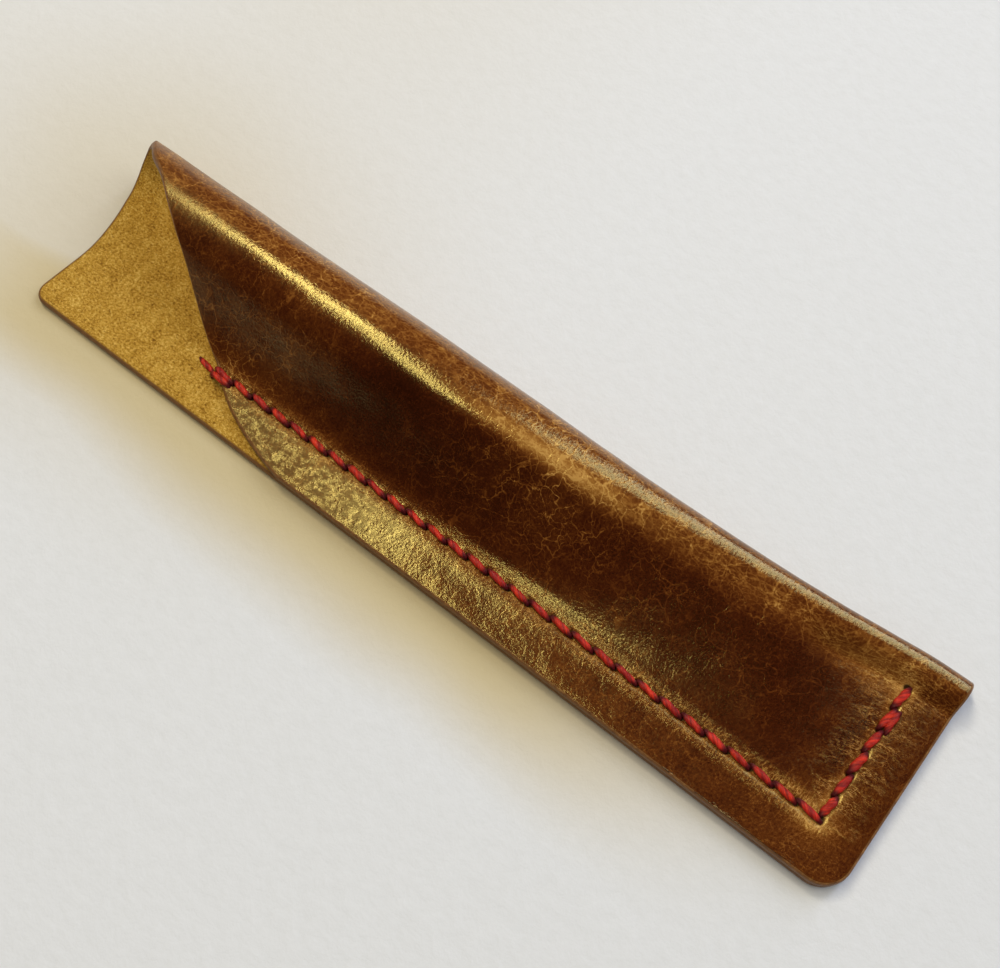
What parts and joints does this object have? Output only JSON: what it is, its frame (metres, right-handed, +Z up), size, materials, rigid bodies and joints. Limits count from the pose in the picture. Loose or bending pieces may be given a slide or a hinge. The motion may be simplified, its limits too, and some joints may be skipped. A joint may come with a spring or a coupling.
{
  "type": "fountain pen case",
  "caption": "Leather pen sleeve folded from one piece, saddle stitched in red along its long side and closed end, with a diagonal open mouth.",
  "frame": {"origin": "on the surface the case lies on, under the middle of its bounding box", "axes": "+X along the case to its closed end (the mouth is at -X), +Y to the folded side (the stitched side is at -Y), +Z up from the back panel"},
  "size_m": [0.1598, 0.0384, 0.016],
  "materials": {
    "leather": "waxed pull-up grain outside, undyed suede flesh inside",
    "thread": "waxed red linen thread"
  },
  "bodies": {
    "root": {"leather_blank": "leather", "needle_a_thread": "thread", "needle_b_thread": "thread", "mouth_backstitch": "thread", "end_backstitch": "thread"}
  },
  "joints": []
}
